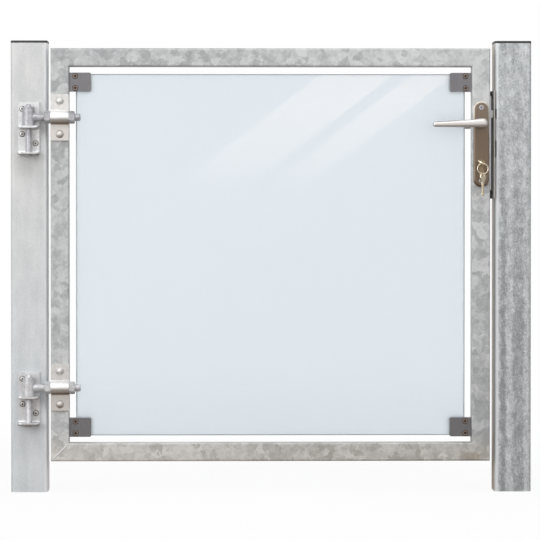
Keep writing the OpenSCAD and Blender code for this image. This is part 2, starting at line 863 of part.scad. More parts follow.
// Moves to the hole in the bow of the key in the lock
module at_bow_hole() {
  translate([lock_x, leaf_y - hole_y, cylinder_z]) children();
}

// Key in the lock, its bow seen edge on
module lock_key() {
  color("gold") at_bow_hole() rotate([0, 90 - key_turn, 0]) flat_key();
}

// Ring through both bows, hanging across the view
module key_ring() {
  color("khaki")
    at_bow_hole()
      translate([ring_x, 0, ring_z])
        rotate([90, 0, 0]) rotate_extrude() translate([ring_d / 2, 0]) circle(d = ring_wire_d);
}

// Spare key hanging from the foot of the ring, turned a little towards the viewer
module spare_key() {
  color("gold")
    at_bow_hole()
      translate([ring_x, 0, ring_z - ring_d / 2 - spare_drop])
        rotate(-spare_turn) rotate([0, 90, 0]) rotate(-90) flat_key();
}

// Levers

// Signed power, for the grip's flattened oval section
function bent(v, p) = sign(v) * pow(abs(v), p);

// How much of its full section the grip has at distance d from an end rounded over length r
function round_off(d, r) = d >= r ? 1 : sqrt(1 - pow(1 - d / r, 2));

// Height of the grip at distance d from the spindle: a straight taper with the hub's swelling on top
function grip_height(d) =
  grip_root_h + (grip_tip_h - grip_root_h) * d / lever_reach
  + (grip_hub_h - grip_root_h) * exp(-pow(d / hub_spread, 2));

// Section of the grip at distance s from its hub end, as points around the section
function grip_ring(s) =
  let (
    u = s / grip_long,
    e = round_off(s, grip_over) * round_off(grip_long - s, grip_tip_h / 2),
    h = grip_height(s - grip_over) / 2,
    t = (grip_hub_t + (grip_tip_t - grip_hub_t) * u) / 2,
    low = h - grip_low + grip_rise * u
  )
  [for (k = [0:grip_sides - 1])
    let (a = 360 * k / grip_sides)
    [grip_over - s, low + h * e * bent(sin(a), grip_squareness), grip_y + t * e * bent(cos(a), grip_squareness)]];

// Grip lofted through sections that crowd towards both rounded ends
module lever_grip() {
  n = grip_stations;
  m = grip_sides;
  rings = [for (i = [0:n - 1]) grip_ring(grip_long * (1 - cos(180 * (i + 0.5) / n)) / 2)];
  points = [for (r = rings, p = r) p];
  sides = [for (i = [0:n - 2], k = [0:m - 1])
    let (j = (k + 1) % m)
    [i * m + k, (i + 1) * m + k, (i + 1) * m + j, i * m + j]];
  ends = [[for (k = [0:m - 1]) k], [for (k = [m - 1:-1:0]) (n - 1) * m + k]];
  polyhedron(points, concat(sides, ends), convexity = 4);
}

// Lever with a round neck through the plate's collar, bored square for the spindle
module lever() {
  difference() {
    union() {
      translate([0, 0, seat_clear]) cylinder(d = lever_neck_d, h = grip_y - seat_clear);
      lever_grip();
    }
    translate([-spindle_w / 2 - press_clear, -spindle_w / 2 - press_clear, -cut])
      cube([spindle_w + 2 * press_clear, spindle_w + 2 * press_clear, grip_gap + cut]);
  }
}

module front_lever() {
  color("whitesmoke") on_lock(true) lever();
}

module back_lever() {
  color("whitesmoke") on_lock(false) lever();
}

// Square bar that joins the two levers through the lock
module lever_spindle() {
  long = tube_w + 2 * (grip_gap - seat_clear);
  color("silver")
    translate([lock_x, leaf_mid_y, spindle_z]) cube([spindle_w, long, spindle_w], center = true);
}

hinge_post();
latch_post();
hinge_post_cap();
latch_post_cap();
upper_hinge_bracket();
lower_hinge_bracket();
upper_hinge_pin();
lower_hinge_pin();
latch_keep();
hinge_stile();
lock_stile();
top_rail();
bottom_rail();
glass_pane();
upper_left_clamp_back();
upper_right_clamp_back();
lower_left_clamp_back();
lower_right_clamp_back();
upper_left_clamp_front();
upper_right_clamp_front();
lower_left_clamp_front();
lower_right_clamp_front();
upper_left_clamp_pads();
upper_right_clamp_pads();
lower_left_clamp_pads();
lower_right_clamp_pads();
upper_hinge_strap();
lower_hinge_strap();
upper_eye_bolt();
lower_eye_bolt();
hinge_nuts();
strap_bolts();
front_lock_plate();
back_lock_plate();
lock_case();
dead_bolt();
lock_cylinder();
latch_bolt();
front_lever();
back_lever();
lever_spindle();
cylinder_plug();
lock_key();
key_ring();
spare_key();
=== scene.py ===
import math

import bmesh
import bpy
import numpy as np
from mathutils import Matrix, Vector


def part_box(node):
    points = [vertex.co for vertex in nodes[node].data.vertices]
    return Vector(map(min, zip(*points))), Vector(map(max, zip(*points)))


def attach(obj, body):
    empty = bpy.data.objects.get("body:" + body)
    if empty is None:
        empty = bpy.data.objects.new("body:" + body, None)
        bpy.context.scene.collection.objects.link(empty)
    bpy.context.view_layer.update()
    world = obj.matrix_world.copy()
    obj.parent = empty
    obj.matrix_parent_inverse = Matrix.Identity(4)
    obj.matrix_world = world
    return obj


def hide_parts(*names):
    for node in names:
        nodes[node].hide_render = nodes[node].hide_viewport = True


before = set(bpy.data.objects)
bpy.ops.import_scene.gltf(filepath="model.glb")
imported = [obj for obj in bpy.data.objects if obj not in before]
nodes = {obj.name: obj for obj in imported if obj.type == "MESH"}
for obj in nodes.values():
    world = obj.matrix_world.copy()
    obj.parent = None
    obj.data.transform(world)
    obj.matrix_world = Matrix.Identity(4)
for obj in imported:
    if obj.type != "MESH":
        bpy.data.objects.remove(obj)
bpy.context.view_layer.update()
mm = 0.001

# Studio
# A wide white floor that keeps the soft shadow, a white world and four soft boxes. What bright metal mirrors
# is set out round it: earth brown below, grey at the right, and two slanting strips of light for the pane.


class Socket:
    """One socket of a finish's node tree. Sums and products of sockets add Math nodes to that tree."""

    def __init__(self, tree, plug):
        self.tree = tree
        self.plug = plug

    def node(self, kind, settings=None, inputs=None, output=0):
        """Adds a node to the tree: first its settings, then a value or a link for each socket named."""
        made = self.tree.nodes.new("ShaderNode" + kind)
        for name, value in (settings or {}).items():
            setattr(made, name, value)
        for name, value in (inputs or {}).items():
            if isinstance(value, Socket):
                self.tree.links.new(value.plug, made.inputs[name])
            else:
                made.inputs[name].default_value = value
        return Socket(self.tree, made.outputs[output]) if made.outputs else None

    def maths(self, operation, first, second):
        return self.node("Math", {"operation": operation}, {0: first, 1: second})

    def __add__(self, other):
        return self.maths("ADD", self, other)

    def __radd__(self, other):
        return self.maths("ADD", other, self)

    def __sub__(self, other):
        return self.maths("SUBTRACT", self, other)

    def __rsub__(self, other):
        return self.maths("SUBTRACT", other, self)

    def __mul__(self, other):
        return self.maths("MULTIPLY", self, other)

    def __rmul__(self, other):
        return self.maths("MULTIPLY", other, self)


def srgb(red, green, blue):
    """Linear colour of a screen colour given from 0 to 255."""
    screen = np.array([red, green, blue]) / 255
    linear = np.where(screen <= 0.04045, screen / 12.92, ((screen + 0.055) / 1.055) ** 2.4)
    return (*linear.tolist(), 1.0)


def new_finish(name):
    """An empty material, and the socket of its Object coordinates, which are metres in the gate's frame."""
    material = bpy.data.materials.new(name)
    material.use_nodes = True
    material.node_tree.nodes.clear()
    coordinates = material.node_tree.nodes.new("ShaderNodeTexCoord")
    return material, Socket(material.node_tree, coordinates.outputs["Object"])


def band(value, low, high):
    """Smooth step: 0 where value is under low, 1 where it is over high."""
    limits = {"Value": value, "From Min": low, "From Max": high}
    return value.node("MapRange", {"interpolation_type": "SMOOTHSTEP"}, limits)


def along_axis(at, axis):
    """One of the three coordinates."""
    return at.node("SeparateXYZ", {}, {"Vector": at}, axis)


def seen_directly(at):
    """1 for what the camera sees, in the open, in a mirror or through glass."""
    rays = [at.node("LightPath", {}, {}, "Is %s Ray" % ray) for ray in ("Camera", "Glossy", "Transmission")]
    return band(rays[0] + rays[1] + rays[2], 0.0, 1.0)


def flat_sheet(name, corners, material):
    """Four-cornered sheet on the stage."""
    mesh = bpy.data.meshes.new(name)
    mesh.from_pydata(corners, [], [(0, 1, 2, 3)])
    mesh.materials.append(material)
    sheet = bpy.data.objects.new(name, mesh)
    bpy.context.scene.collection.objects.link(sheet)
    return sheet


floor_half = 40.0
floor_white = (0.9, 0.9, 0.9, 1.0)
floor_bounce = (0.53, 0.5, 0.47, 1.0)
near_glow = 0.91
far_glow = 0.09
glow_from, glow_to = 0.9, 2.4
floor_finish, at = new_finish("floor_white")
radius = at.node("VectorMath", {"operation": "LENGTH"}, {0: at}, "Value")
in_view = seen_directly(at)
floor_glow = in_view * (near_glow + far_glow * band(radius, glow_from, glow_to))
floor_tone = at.node("Mix", {"data_type": "RGBA"}, {0: in_view, 6: floor_bounce, 7: floor_white}, 2)
lit_floor = at.node("BsdfDiffuse", {}, {"Color": floor_tone})
plain_white = at.node("Emission", {}, {"Color": (1.0, 1.0, 1.0, 1.0), "Strength": 1.0})
floor_shader = at.node("MixShader", {}, {"Fac": floor_glow, 1: lit_floor, 2: plain_white})
at.node("OutputMaterial", {}, {"Surface": floor_shader})
floor_corners = [(x * floor_half, y * floor_half, 0.0) for x, y in ((-1, -1), (1, -1), (1, 1), (-1, 1))]
flat_sheet("floor", floor_corners, floor_finish)

world_light = 0.5
world = bpy.data.worlds.new("white_world")
world.use_nodes = True
world.node_tree.nodes.clear()
sky = Socket(world.node_tree, None)
soft_sky = sky.node("Background", {}, {"Color": (1.0, 1.0, 1.0, 1.0), "Strength": world_light})
white_sky = sky.node("Background", {}, {"Color": (1.0, 1.0, 1.0, 1.0), "Strength": 1.0})
sky_shader = sky.node("MixShader", {}, {"Fac": seen_directly(sky), 1: soft_sky, 2: white_sky})
sky.node("OutputWorld", {}, {"Surface": sky_shader})
bpy.context.scene.world = world


def soft_box(name, place, aim, width, height, brightness):
    """Rectangular lamp at place that looks at aim; its power gives its face the brightness asked for."""
    lamp = bpy.data.lights.new(name, "AREA")
    lamp.shape = "RECTANGLE"
    lamp.size = width
    lamp.size_y = height
    lamp.energy = brightness * math.pi * width * height
    box = bpy.data.objects.new(name, lamp)
    box.location = place
    box.rotation_euler = (Vector(aim) - Vector(place)).to_track_quat("-Z", "Y").to_euler()
    box.visible_camera = False
    bpy.context.scene.collection.objects.link(box)
    return box


gate_middle = (0.53, 0.0, 0.5)
soft_box("top_box", (0.2, -1.6, 2.6), gate_middle, width=2.6, height=0.9, brightness=3.4)
soft_box("left_box", (-2.6, -3.6, 1.5), gate_middle, width=2.0, height=2.0, brightness=5.9)
soft_box("right_box", (3.6, -3.4, 1.4), gate_middle, width=1.6, height=1.6, brightness=3.7)
back_box = soft_box("back_box", (0.9, 4.6, 2.4), gate_middle, width=3.2, height=1.8, brightness=2.4)
back_box.visible_transmission = False
back_box.visible_glossy = False


def mirrored_only(sheet):
    """Leaves a sheet to be seen in mirrors and gloss alone, with no light or shadow from it on the gate."""
    sheet.visible_camera = False
    sheet.visible_diffuse = False
    sheet.visible_shadow = False
    sheet.visible_transmission = False


def glow(at, colour, strength, share):
    """Puts a glow on the material that fades to nothing where share is 0."""
    light = at.node("Emission", {}, {"Color": colour, "Strength": strength})
    clear = at.node("BsdfTransparent")
    at.node("OutputMaterial", {}, {"Surface": at.node("MixShader", {}, {"Fac": share, 1: clear, 2: light})})


card_left, card_right = -1.3, 2.4
card_near, card_far = 0.9, -6.0
card_lift = 4 * mm
card_fade = 4.4
card_finish, at = new_finish("earth_card")
glow(at, srgb(106, 80, 56), 1.0, band(along_axis(at, "Y"), card_far, card_far + card_fade))
card_corners = [
    (card_left, card_far, card_lift),
    (card_right, card_far, card_lift),
    (card_right, card_near, card_lift),
    (card_left, card_near, card_lift),
]
mirrored_only(flat_sheet("earth_card", card_corners, card_finish))

flag_x = 2.6
flag_near, flag_far = 1.0, -3.2
flag_high = 2.2
flag_fade = 0.8
flag_finish, at = new_finish("grey_flag")
glow(at, srgb(172, 168, 174), 1.0, band(along_axis(at, "Y"), flag_far, flag_far + flag_fade))
flag_corners = [
    (flag_x, flag_far, 0.0),
    (flag_x, flag_near, 0.0),
    (flag_x, flag_near, flag_high),
    (flag_x, flag_far, flag_high),
]
mirrored_only(flat_sheet("grey_flag", flag_corners, flag_finish))

view_middle = Vector((525 * mm, -50 * mm, 485 * mm))
view_point = Vector((395 * mm, -7000 * mm, 600 * mm))
focal_pixels = 3189
frame_pixels = 540
strip_depth = -3.0
strip_scale = 3.115 * mm
strip_reach = 0.425
strip_middle = view_middle + strip_reach * (view_middle - view_point)
strip_light = 3.1
strip_warmth = (1.0, 0.77, 0.63, 1.0)
strip_foot, strip_head = 0.53, 1.03
# Corners of each strip in pixels of the picture, where the pane mirrors it
strip_pixels = (
    ("inner_strip", ((419, 70), (460, 70), (276, 210), (235, 210))),
    ("outer_strip", ((328, 70), (400, 70), (190, 230), (118, 230))),
)
strip_finish, at = new_finish("light_strip")
glow(at, strip_warmth, strip_light, band(along_axis(at, "Z"), strip_foot, strip_head))
half_frame = frame_pixels / 2
strip_left = strip_middle.x - half_frame * strip_scale
strip_top = strip_middle.z + half_frame * strip_scale
for strip_name, outline in strip_pixels:
    strip_corners = [
        (strip_left + px * strip_scale, strip_depth, strip_top - py * strip_scale)
        for px, py in outline
    ]
    mirrored_only(flat_sheet(strip_name, strip_corners, strip_finish))

camera = bpy.data.cameras.new("camera")
camera.sensor_width = 36.0
camera.lens = camera.sensor_width * focal_pixels / frame_pixels
camera.clip_end = 100.0
camera_object = bpy.data.objects.new("camera", camera)
camera_object.location = view_point
camera_object.rotation_euler = (view_middle - view_point).to_track_quat("-Z", "Y").to_euler()
bpy.context.scene.collection.objects.link(camera_object)
bpy.context.scene.camera = camera_object
bpy.context.scene.view_settings.view_transform = "Standard"

# Posts
# Two lengths of square steel tube set in the ground, hot-dip galvanised. The hinge post has a smooth, pale
# skin with faint upright streaks, and its corner by the leaf is painted light. The latch post has dulled in
# two dark runs; its corner by the keep is painted light, and its inner face is painted brownish grey as a
# painted reflection of the brown ground.


def cloud(at, scale, detail=3.0, roughness=0.55):
    """Soft noise from 0 to 1, its lumps one metre over scale wide."""
    return at.node("TexNoise", {}, {"Vector": at, "Scale": scale, "Detail": detail, "Roughness": roughness})


def drawn_cloud(at, x, y, z, detail=3.0, roughness=0.55):
    """Soft noise with a scale for each axis, drawn out along the axis whose scale is small."""
    stretched = at.node("Mapping", {}, {"Vector": at, "Scale": (x, y, z)})
    return cloud(stretched, 1.0, detail, roughness)


def blend(mask, low, high):
    """Colour that goes from low, where mask is 0, to high, where it is 1."""
    return mask.node("Mix", {"data_type": "RGBA"}, {0: mask, 6: low, 7: high}, 2)


def between(value, low, full_from, full_to, high):
    """1 from full_from to full_to, falling smoothly to 0 at low and at high."""
    return band(value, low, full_from) * (1.0 - band(value, full_to, high))


def relief(height, depth, strength=1.0):
    """Normal of a surface whose height varies by depth metres."""
    return height.node("Bump", {}, {"Height": height, "Distance": depth, "Strength": strength})


def surface(at, **sockets):
    """Principled shader on the material: links for what varies, plain values for the rest."""
    shader = at.node("BsdfPrincipled", {}, {name.replace("_", " "): value for name, value in sockets.items()})
    at.node("OutputMaterial", {}, {"Surface": shader})


def dress(material, *names):
    """Gives CAD nodes their finish."""
    for name in names:
        nodes[name].data.materials.clear()
        nodes[name].data.materials.append(material)


post_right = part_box("hinge_post")[1][0]
cool_to, warm_from = 0.1, 0.8
smooth_zinc, at = new_finish("smooth_zinc")
streak = drawn_cloud(at, 80.0, 80.0, 5.0, detail=4.0)
patch = drawn_cloud(at, 30.0, 30.0, 14.0, detail=4.0)
grain = cloud(at, 420.0, 2.0)
pale = band(0.2 * streak + 0.4 * patch + 0.4 * grain, 0.36, 0.64)
cool_zinc = blend(pale, srgb(195, 200, 204), srgb(215, 219, 222))
warm_zinc = blend(pale, srgb(192, 194, 195), srgb(211, 212, 212))
# Towards the top the zinc turns warmer and a little darker; the darkening is painted shade.
open_zinc = blend(band(along_axis(at, "Z"), cool_to, warm_from), cool_zinc, warm_zinc)
# Painted light: the right corner and inner face, which the leaf shades, are lightened almost to white.
painted_light_corner = band(along_axis(at, "X"), post_right - 10 * mm, post_right - 1 * mm)
surface(
    at,
    Base_Color=blend(painted_light_corner, open_zinc, srgb(240, 242, 244)),
    Metallic=0.2,
    Roughness=0.5 + 0.2 * patch,
    Normal=relief(0.6 * patch + 0.4 * streak, 0.4 * mm, 0.4),
)
dress(smooth_zinc, "hinge_post")

post_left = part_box("latch_post")[0][0]
run_edge = 7 * mm
run_limits = ((10.5 * mm, 28.5 * mm), (37.5 * mm, 66.5 * mm))
run_waver = 26 * mm
dull_to, clean_from = 0.3, 0.9
dull_zinc, at = new_finish("dull_zinc")
blotch = drawn_cloud(at, 84.0, 84.0, 46.0, detail=7.0, roughness=0.74)
drip = drawn_cloud(at, 110.0, 110.0, 12.0, detail=4.0)
freckle = drawn_cloud(at, 330.0, 330.0, 220.0)
grain = cloud(at, 640.0, 2.0)
across = along_axis(at, "X") - post_left
wavering = across + run_waver * (drawn_cloud(at, 16.0, 16.0, 26.0, detail=7.0, roughness=0.72) - 0.5)
dark_runs = [between(wavering, start, start + run_edge, end - run_edge, end) for start, end in run_limits]
dulled = 1.0 - band(along_axis(at, "Z"), dull_to, clean_from)
mottle = 0.46 * blotch + 0.16 * drip + 0.26 * freckle + 0.12 * grain
runs = (dark_runs[0] + 0.8 * dark_runs[1]) * (0.025 + 0.1 * dulled) * (2.0 * drip - 0.1)
# Painted light: the corner beside the keep, which the leaf shades, is lightened.
corner = 1.0 - band(across, 2.5 * mm, 10.5 * mm)
specks = 0.05 * band(freckle, 0.58, 0.7)
light_share = band(mottle - runs + specks + 0.3 * corner, 0.325, 0.655)
weathered = blend(light_share, srgb(138, 141, 144), srgb(212, 216, 218))
# Painted reflection: the inner face gets a brownish grey standing in for the brown ground it mirrors.
inner_face = 1.0 - band(across, 0.1 * mm, 0.7 * mm)
ground_reflection_tone = blend(band(mottle, 0.33, 0.65), srgb(164, 154, 145), srgb(200, 192, 186))
surface(
    at,
    Base_Color=blend(inner_face, weathered, ground_reflection_tone),
    Metallic=0.15,
    Roughness=0.7 - 0.16 * light_share,
    Normal=relief(mottle, 0.6 * mm, 0.5),
)
dress(dull_zinc, "latch_post")

# Post caps
# Thin black plastic caps, moulded with a hollow plug below, pressed into the tubes' upper ends so that no
# water gets in. Their edges are worn round.


def soften(width, *names):
    """Rounds the edges of CAD nodes by width: their loose triangles are welded, then bevelled."""
    for name in names:
        weld = nodes[name].modifiers.new("weld", "WELD")
        weld.merge_threshold = 0.002 * mm
        edge = nodes[name].modifiers.new("edge", "BEVEL")
        edge.width = width
        edge.segments = 2
        edge.limit_method = "ANGLE"
        edge.angle_limit = math.radians(35)
        edge.harden_normals = True


cap_plastic, at = new_finish("cap_plastic")
pebble = cloud(at, 900.0, 2.0)
surface(
    at,
    Base_Color=blend(pebble, srgb(44, 44, 46), srgb(58, 58, 60)),
    Roughness=0.5 + 0.2 * pebble,
    Normal=relief(pebble, 0.15 * mm, 0.5),
)
dress(cap_plastic, "hinge_post_cap", "latch_post_cap")
soften(1.0 * mm, "hinge_post_cap", "latch_post_cap")

# Leaf frame
# Four lengths of square tube, mitred, welded and hot-dip galvanised: the zinc froze in feathered spangles.
# The lower left mitre keeps its weld bead in front; the other three are ground flush there, and the lower
# right one has a rust stain beside it.


def spangle(at, scale, bend=18 * mm):
    """Random tone for each crystal of the zinc skin, with crystal edges bent by noise."""
    noise = at.node("TexNoise", {}, {"Vector": at, "Scale": 90.0, "Detail": 3.0}, "Color")
    shifted = at.node("VectorMath", {"operation": "MULTIPLY_ADD"}, {0: noise, 1: (bend, bend, bend), 2: at})
    cells = at.node("TexVoronoi", {}, {"Vector": shifted, "Scale": scale}, "Color")
    return at.node("SeparateColor", {}, {"Color": cells}, "Red")


warm_to, cool_from = -0.42, -0.36
rust_limits = (0.4, 0.43, 0.45, 0.462)
rust_to, rust_end = -0.424, -0.408
rust_waver = 60 * mm
frame_zinc, at = new_finish("frame_zinc")
crystal = spangle(at, 62.0)
feather = cloud(at, 85.0, 5.0, 0.62)
wash = cloud(at, 9.0, 2.0)
grain = cloud(at, 480.0, 2.0)
across = along_axis(at, "X") - gate_middle[0]
upward = along_axis(at, "Z") - gate_middle[2]
tone = 0.22 * crystal + 0.1 * spangle(at, 150.0) + 0.24 * feather + 0.14 * wash + 0.15 * grain
# Painted light and shade: lighter towards top right and bottom left, darker towards the other two corners.
pale = band(tone + 0.38 * across * upward, 0.18, 0.66)
cool_frame = blend(pale, srgb(152, 155, 156), srgb(204, 206, 207))
# Painted light: the bottom rail is warmer and lighter, standing in for light bounced off the brown ground.
ground_lit_frame = blend(pale, srgb(162, 159, 154), srgb(212, 210, 206))
clean_frame = blend(band(upward, warm_to, cool_from), ground_lit_frame, cool_frame)
rust_across = between(across, *rust_limits)
rust_upward = 1.0 - band(upward + rust_waver * (feather - 0.5), rust_to, rust_end)
surface(
    at,
    Base_Color=blend(0.42 * rust_across * rust_upward, clean_frame, srgb(146, 128, 106)),
    Metallic=0.2,
    Roughness=0.44 + 0.16 * crystal,
    Normal=relief(0.6 * feather + 0.4 * grain, 0.35 * mm, 0.45),
)
dress(frame_zinc, "hinge_stile", "lock_stile", "top_rail", "bottom_rail")


def skin(name, sheets, finish, body, sharp=40.0):
    """Closed skins on grids of points: a grid's rows are rings, joined in turn, with a cap on each end."""
    points = np.concatenate([sheet.reshape(-1, 3) for sheet in sheets])
    faces = []
    start = 0
    for sheet in sheets:
        rings, sides = sheet.shape[:2]
        index = start + np.arange(rings * sides).reshape(rings, sides)
        turned_on = np.roll(index, -1, axis=1)
        quads = np.stack([index[:-1], turned_on[:-1], turned_on[1:], index[1:]], axis=-1)
        faces += quads.reshape(-1, 4).tolist() + [index[0].tolist(), index[-1].tolist()]
        start += rings * sides
    mesh = bpy.data.meshes.new(name)
    mesh.from_pydata(points.tolist(), [], faces)
    shape = bmesh.new()
    shape.from_mesh(mesh)
    bmesh.ops.recalc_face_normals(shape, faces=shape.faces)
    shape.to_mesh(mesh)
    shape.free()
    mesh.shade_smooth()
    mesh.set_sharp_from_angle(angle=math.radians(sharp))
    mesh.materials.append(finish)
    piece = bpy.data.objects.new(name, mesh)
    bpy.context.scene.collection.objects.link(piece)
    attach(piece, body)
    return piece


def bead(start, end, width, height, ripple=2.6 * mm):
    """Weld bead from start to end on an upright face: an oval ring of points moves along the line, swells and
    shrinks by a cosine of the length over the ripple, and closes at both ends by the fourth root of a
    parabola."""
    start, end = np.array(start), np.array(end)
    length = np.linalg.norm(end - start)
    share = np.linspace(0.01, 0.99, int(length / ripple * 8))[:, None]
    turn = np.linspace(0.0, 2 * np.pi, 16, endpoint=False)
    swell = (4 * share * (1 - share)) ** 0.25 * (0.88 + 0.12 * np.cos(2 * np.pi * share * length / ripple))
    heading = (end - start) / length
    beside = np.array([-heading[2], 0.0, heading[0]])
    middle = start + share[..., None] * (end - start)
    sideways = (swell * np.cos(turn) * width / 2)[..., None] * beside
    outward = (swell * np.sin(turn) * height)[..., None] * np.array([0.0, -1.0, 0.0])
    return middle + sideways + outward


stile_low, stile_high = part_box("hinge_stile")
inset = 3.5 * mm
tube_w = stile_high[0] - stile_low[0]
foot, head = stile_low[2], stile_high[2]
left, right = stile_low[0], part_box("lock_stile")[1][0]
front, rear = stile_low[1], stile_high[1]
weld_width = 4.5 * mm
weld_height = 1.5 * mm


def mitre_bead(x, z, y):
    """Bead along the mitre of the leaf's corner at x and z, on the face at depth y."""
    inward_x = 1 if x == left else -1
    inward_z = 1 if z == foot else -1
    outer, inner = ((x + inward_x * reach, y, z + inward_z * reach) for reach in (inset, tube_w))
    return bead(outer, inner, weld_width, weld_height)


beads = [mitre_bead(left, foot, front)]
beads += [mitre_bead(x, z, rear) for z in (foot, head) for x in (left, right)]
weld_zinc, at = new_finish("weld_zinc")
clot = cloud(at, 160.0, 3.0)
surface(
    at,
    Base_Color=blend(clot, srgb(196, 197, 198), srgb(232, 232, 231)),
    Metallic=0.35,
    Roughness=0.4 + 0.2 * clot,
    Normal=relief(clot, 0.4 * mm, 0.6),
)
skin("frame_welds", beads, weld_zinc, "leaf")

# Hinge brackets and pins
# Bent steel wall brackets with a shelf and the pin welded in, zinc plated, screwed to the post by four
# socket screws each. A black ring round every screw head and a dark disc in every socket are painted shade.


def turned(rows, sides=30):
    """Skin turned about +Z. Each row gives a ring's radius, its height and how far it is a hexagon with its
    flats at that radius: the radius is multiplied by 1 over the cosine of the angle from the nearest flat's
    middle."""
    radius, height, hexed = (np.array(part)[:, None] for part in zip(*rows))
    turn = np.linspace(0.0, 2 * np.pi, sides, endpoint=False)
    corner = 1 / np.cos(turn % (np.pi / 3) - np.pi / 6)
    reach = radius * (1 + hexed * (corner - 1))
    return np.stack([reach * np.cos(turn), reach * np.sin(turn), height + 0 * turn], axis=-1)


def socket_screw(head_d, head_h, socket_af, socket_deep, crown=0.6 * mm):
    """Rings of a screw head with a rounded rim and a hexagon socket."""
    rim = head_d / 2
    key = socket_af / 2
    return turned([
        (rim, 0.0, 0.0),
        (rim, head_h - crown, 0.0),
        (rim - 0.3 * crown, head_h - 0.3 * crown, 0.0),
        (rim - crown, head_h, 0.0),
        (key * 1.12, head_h, 1.0),
        (key, head_h - 0.2 * mm, 1.0),
        (key, head_h - socket_deep, 1.0),
        (key * 0.5, head_h - socket_deep * 1.1, 0.0),
    ])


def shade_ring(outer_d, thick):
    """Rings of a flat ring with a rounded rim, its middle hidden under a screw's head: painted shade."""
    rim = outer_d / 2
    return turned([
        (rim, 0.0, 0.0),
        (rim, 0.6 * thick, 0.0),
        (0.94 * rim, thick, 0.0),
        (0.2 * rim, thick, 0.0),
    ])


def socket_shade(socket_af, height):
    """Rings of a hexagon disc in a screw's socket, up to a height over the head's foot: painted shade."""
    key = 0.49 * socket_af
    return turned([(key, 0.5 * height, 1.0), (key, height, 1.0)])


facing_front = np.array([[1.0, 0.0, 0.0], [0.0, 0.0, 1.0], [0.0, -1.0, 0.0]])
facing_back = np.array([[-1.0, 0.0, 0.0], [0.0, 0.0, 1.0], [0.0, 1.0, 0.0]])
facing_right = np.array([[0.0, 1.0, 0.0], [0.0, 0.0, 1.0], [1.0, 0.0, 0.0]])
facing_left = np.array([[0.0, -1.0, 0.0], [0.0, 0.0, 1.0], [-1.0, 0.0, 0.0]])


def set_out(shape, places, facing):
    """Copies of a shape drawn along +Z, turned to face one way and moved to each place."""
    return [shape @ facing + np.array(place) for place in places]


bracket_zinc, at = new_finish("bracket_zinc")
haze = cloud(at, 140.0, 4.0)
grain = cloud(at, 700.0, 2.0)
levels = ("upper", "lower")
upward = along_axis(at, "Z")
feet = [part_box(level + "_hinge_bracket")[0][2] for level in levels]
shade = [between(upward, z - 2 * mm, z - 1 * mm, z + 0.5 * mm, z + 4 * mm) for z in feet]
plated = blend(band(0.7 * haze + 0.3 * grain, 0.3, 0.7), srgb(206, 207, 209), srgb(226, 227, 228))
surface(
    at,
    Base_Color=blend(0.8 * (shade[0] + shade[1]), plated, srgb(96, 86, 76)),
    Metallic=0.7,
    Roughness=0.34 + 0.12 * haze,
    Normal=relief(0.5 * haze + 0.5 * grain, 0.2 * mm, 0.3),
)
dress(bracket_zinc, "upper_hinge_bracket", "lower_hinge_bracket")
soften(1.6 * mm, "upper_hinge_bracket", "lower_hinge_bracket")
soften(0.7 * mm, "upper_hinge_pin", "lower_hinge_pin")

plate_t = 4.5 * mm
hole_out = 14.5 * mm
hole_drops = ((-1, 14.0 * mm), (-1, 69.0 * mm), (1, 34.0 * mm), (1, 89.0 * mm))
shelf_drop = 56 * mm
weld_reach = (9 * mm, 21 * mm)
bracket_socket = 3.6 * mm
bracket_screw = socket_screw(head_d=10 * mm, head_h=3.4 * mm, socket_af=bracket_socket, socket_deep=2.6 * mm)
# Black rings round the bracket screws' heads are painted shade.
bracket_shade_ring = shade_ring(outer_d=12.6 * mm, thick=1.2 * mm)
# Dark discs in the bracket screws' sockets are painted shade.
bracket_socket_shade = socket_shade(bracket_socket, height=2.4 * mm)
bracket_screws, bracket_shade_rings, bracket_welds = [], [], []
for level in levels:
    low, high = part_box(level + "_hinge_bracket")
    plate_face = high[1] - plate_t
    middle = (low[0] + high[0]) / 2
    places = [(middle + side * hole_out, plate_face, high[2] - drop) for side, drop in hole_drops]
    bracket_screws += set_out(bracket_screw, places, facing_front)
    bracket_shade_rings += set_out(bracket_shade_ring, places, facing_front)
    bracket_shade_rings += set_out(bracket_socket_shade, places, facing_front)
    shelf_foot = high[2] - shelf_drop
    for side in (-1, 1):
        ends = [(middle + side * reach, plate_face, shelf_foot) for reach in weld_reach]
        bracket_welds.append(bead(*ends, width=8 * mm, height=3.5 * mm, ripple=3.2 * mm))
screw_zinc, at = new_finish("screw_zinc")
haze = cloud(at, 500.0)
surface(
    at,
    Base_Color=blend(haze, srgb(196, 194, 190), srgb(222, 220, 217)),
    Metallic=0.7,
    Roughness=0.34 + 0.12 * haze,
)
# Near-black for the painted shade round the screw heads and in their sockets.
painted_shade_black, at = new_finish("painted_shade_black")
surface(at, Base_Color=blend(cloud(at, 600.0), srgb(28, 26, 26), srgb(46, 43, 42)), Roughness=0.75)
skin("bracket_screws", bracket_screws, screw_zinc, "posts")
skin("bracket_shade_rings", bracket_shade_rings, painted_shade_black, "posts")
skin("bracket_welds", bracket_welds, weld_zinc, "posts")

# Eye bolts and nuts
# Forged eyes on a cut thread, with a hexagon nut on each side of the strap, zinc plated. The upper ones are
# coloured darker than the lower ones.


def thread(start, end, axis_y, axis_z, crest, pitch, depth, sides=40):
    """Threaded sleeve along +X: at length x and angle a its radius falls from the crest by depth times a
    triangle wave of x over the pitch less a over a full turn. Its first and last rings close inside the
    rod."""
    along = np.linspace(start, end, int((end - start) / pitch * 10))[:, None]
    turn = np.linspace(0.0, 2 * np.pi, sides, endpoint=False)
    wave = np.abs(2 * ((along / pitch - turn / (2 * np.pi)) % 1.0) - 1)
    reach = crest - depth * wave
    reach[0] = crest - 2 * depth
    reach[-1] = crest - 2 * depth
    return np.stack([along + 0 * turn, axis_y + reach * np.cos(turn), axis_z + reach * np.sin(turn)], axis=-1)


